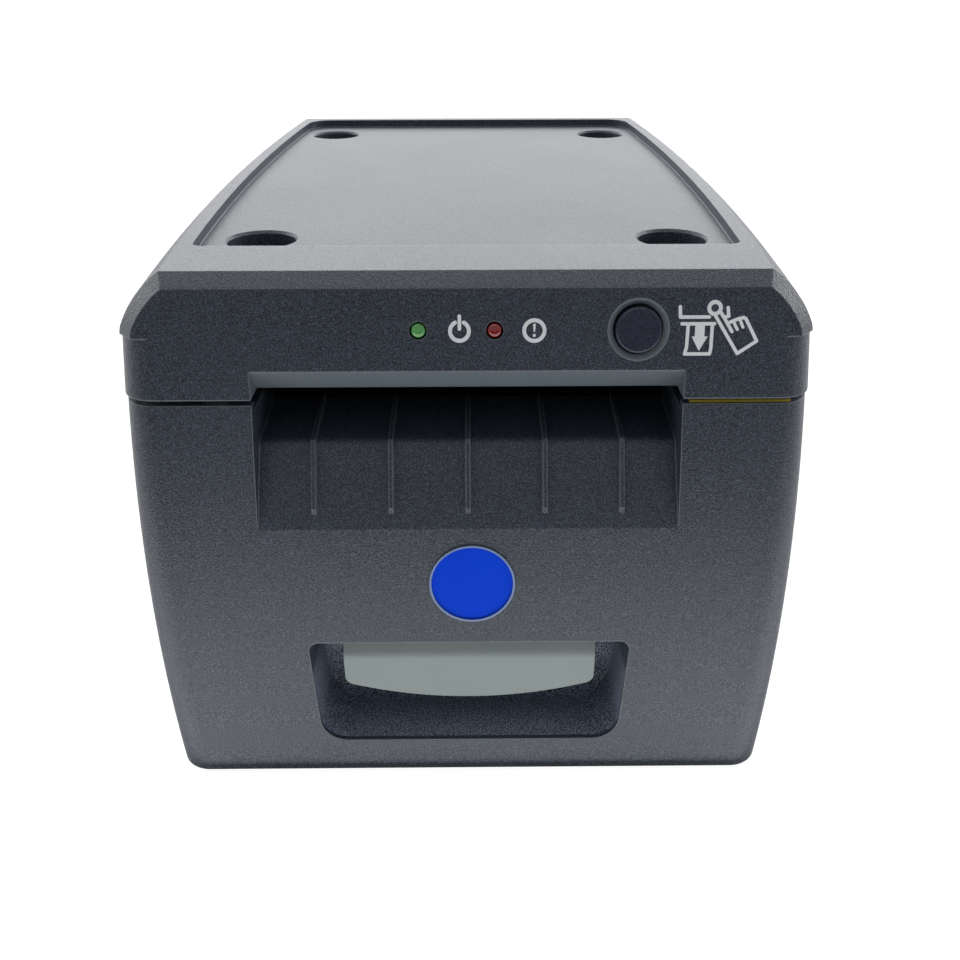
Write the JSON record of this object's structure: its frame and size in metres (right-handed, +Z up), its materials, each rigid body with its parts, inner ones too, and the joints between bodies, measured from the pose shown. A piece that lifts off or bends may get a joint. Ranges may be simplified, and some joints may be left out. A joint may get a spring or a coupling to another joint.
{
  "type": "cheque scanner",
  "caption": "Desktop cheque scanner: barrel-sided housing, rear-hinged cover with a stacking tray, front document slot over a ribbed ramp, and a finger pocket with a release tab.",
  "frame": {"origin": "on the surface the feet stand on, under the middle of the bounding box", "axes": "+Z up, -Y towards the front with the slot, +X to the right seen from the front"},
  "size_m": [0.1616, 0.2345, 0.127],
  "materials": {
    "charcoal_shell": "spark-eroded fine texture, charcoal grey ABS",
    "black_plastic": "moulded, black",
    "grey_plastic": "smooth satin, light grey",
    "button_plastic": "satin, charcoal grey",
    "blue_plastic": "glossy blue",
    "yellow_plastic": "yellow",
    "green_lens": "diffused green epoxy",
    "red_lens": "diffused red epoxy",
    "foot_rubber": "moulded rubber",
    "roller_rubber": "ground EPDM rubber",
    "belt_rubber": "moulded neoprene",
    "zinc_steel": "zinc plated",
    "bright_steel": "ground",
    "chrome_trim": "chrome plated",
    "brass_gear": "machined",
    "white_acetal": "moulded acetal, natural white",
    "circuit_board": "green solder mask on glass-epoxy",
    "sensor_glass": "float glass"
  },
  "bodies": {
    "base": {"lower_housing": "charcoal_shell", "bottom_plate": "black_plastic", "lower_track_plate": "black_plastic", "rubber_feet": "foot_rubber", "bottom_screws": "zinc_steel", "frame_screws": "zinc_steel", "left_frame": "zinc_steel", "right_frame": "zinc_steel", "shaft_bushes": "white_acetal", "lower_image_sensor": "black_plastic", "lower_sensor_glass": "sensor_glass", "micr_head": "bright_steel", "document_sensors": "black_plastic", "main_board": "circuit_board", "power_jack": "black_plastic", "usb_port": "bright_steel", "drive_motor": "zinc_steel", "reduction_axle": "bright_steel", "timing_belt": "belt_rubber", "seam_strip": "yellow_plastic", "badge_face": "blue_plastic", "badge_ring": "chrome_trim"},
    "cover": {"top_cover": "charcoal_shell", "cover_liner": "black_plastic", "latch_strikers": "zinc_steel", "hinge_pins": "bright_steel", "cover_screws": "zinc_steel", "upper_image_sensor": "black_plastic", "upper_sensor_glass": "sensor_glass", "indicator_board": "circuit_board", "power_led": "green_lens", "alert_led": "red_lens", "button_switch": "black_plastic"},
    "button": {"eject_button": "button_plastic", "switch_plunger": "black_plastic"},
    "latch": {"release_lever": "grey_plastic", "latch_shaft": "bright_steel", "latch_hooks": "white_acetal"},
    "front_drive": {"front_drive_shaft": "bright_steel", "front_drive_rollers": "roller_rubber", "front_pulley": "white_acetal"},
    "rear_drive": {"rear_drive_shaft": "bright_steel", "rear_drive_rollers": "roller_rubber", "rear_pulley": "white_acetal"},
    "motor_rotor": {"motor_shaft": "bright_steel", "motor_pinion": "brass_gear"},
    "reduction": {"reduction_gear": "white_acetal"},
    "front_pinch": {"front_pinch_shaft": "bright_steel", "front_pinch_rollers": "white_acetal"},
    "rear_pinch": {"rear_pinch_shaft": "bright_steel", "rear_pinch_rollers": "white_acetal"}
  },
  "joints": [
    {"name": "cover_hinge", "type": "hinge", "parent": "base", "child": "cover", "pos_m": [0, 0.114, 0.104], "axis": [-1, 0, 0], "range_deg": [0, 65]},
    {"name": "button_press", "type": "slide", "parent": "cover", "child": "button", "axis": [0, 0.9816, -0.191], "range_m": [0, 0.0009], "stiffness_N_per_m": 500, "springref_m": -0.001},
    {"name": "latch_release", "type": "hinge", "parent": "base", "child": "latch", "pos_m": [0, -0.099, 0.066], "axis": [-1, 0, 0], "range_deg": [0, 7], "stiffness_Nm_per_rad": 0.08, "springref_deg": -8.59},
    {"name": "front_drive_spin", "type": "hinge", "parent": "base", "child": "front_drive", "pos_m": [0, -0.062, 0.0808], "axis": [1, 0, 0], "continuous": true},
    {"name": "rear_drive_spin", "type": "hinge", "parent": "base", "child": "rear_drive", "pos_m": [0, 0.05, 0.0808], "axis": [1, 0, 0], "continuous": true},
    {"name": "motor_spin", "type": "hinge", "parent": "base", "child": "motor_rotor", "pos_m": [0, 0.01106, 0.05293], "axis": [1, 0, 0], "continuous": true},
    {"name": "reduction_spin", "type": "hinge", "parent": "base", "child": "reduction", "pos_m": [0, -0.006, 0.062], "axis": [1, 0, 0], "continuous": true},
    {"name": "front_pinch_spin", "type": "hinge", "parent": "cover", "child": "front_pinch", "pos_m": [0, -0.062, 0.0971], "axis": [1, 0, 0], "continuous": true},
    {"name": "rear_pinch_spin", "type": "hinge", "parent": "cover", "child": "rear_pinch", "pos_m": [0, 0.05, 0.0971], "axis": [1, 0, 0], "continuous": true}
  ],
  "couplings": [
    {"joint": "rear_drive_spin", "follows": "front_drive_spin", "ratio": 1},
    {"joint": "reduction_spin", "follows": "front_drive_spin", "ratio": 1.2857},
    {"joint": "motor_spin", "follows": "front_drive_spin", "ratio": -3.8571},
    {"joint": "front_pinch_spin", "follows": "front_drive_spin", "ratio": -1.6667},
    {"joint": "rear_pinch_spin", "follows": "front_drive_spin", "ratio": -1.6667}
  ]
}
